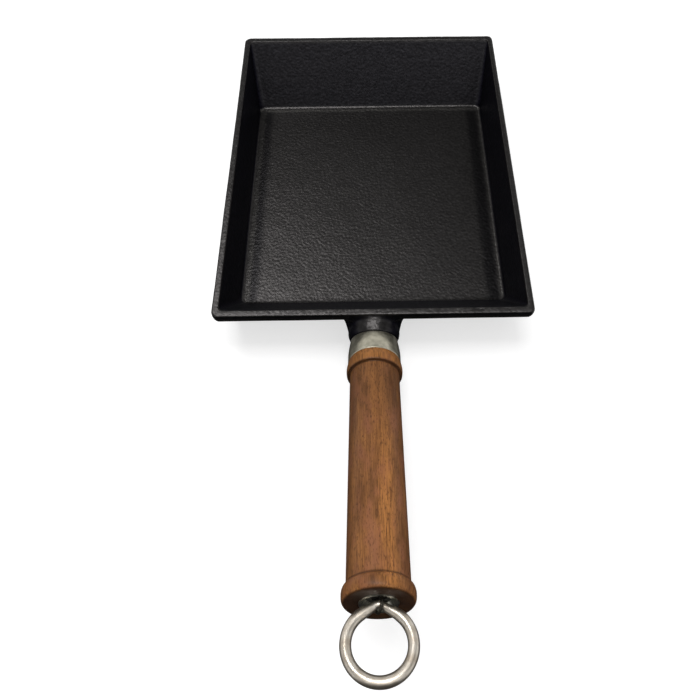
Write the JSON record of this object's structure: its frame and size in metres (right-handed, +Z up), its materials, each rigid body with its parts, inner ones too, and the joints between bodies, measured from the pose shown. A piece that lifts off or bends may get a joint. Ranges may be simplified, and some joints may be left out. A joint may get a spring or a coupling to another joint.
{
  "type": "tamagoyaki pan",
  "caption": "Rectangular cast iron omelette pan with sloped end walls, a turned wooden handle behind a steel ferrule, and a swinging hanging ring.",
  "frame": {"origin": "on the table, under the middle of the rim", "axes": "+Z up; the handle points along -Y and rises; +X to the right when the handle points at the viewer"},
  "size_m": [0.15, 0.3366, 0.0674],
  "materials": {
    "iron": "matt black, fine sand-cast grain",
    "ferrule_steel": "satin, turned",
    "wood": "oiled or thinly lacquered, satin",
    "fixing_steel": "dull plated",
    "ring_plating": "bright nickel plate"
  },
  "bodies": {
    "pan": {"pan_body": "iron", "ferrule": "ferrule_steel", "wooden_handle": "wood", "cup_washer": "fixing_steel", "tie_rod": "fixing_steel"},
    "ring": {"hanging_ring": "ring_plating"}
  },
  "joints": [
    {"name": "ring_swing", "type": "hinge", "parent": "pan", "child": "ring", "pos_m": [0, -0.21651, 0.05563], "axis": [1, 0, 0], "range_deg": [-45, 45]}
  ]
}
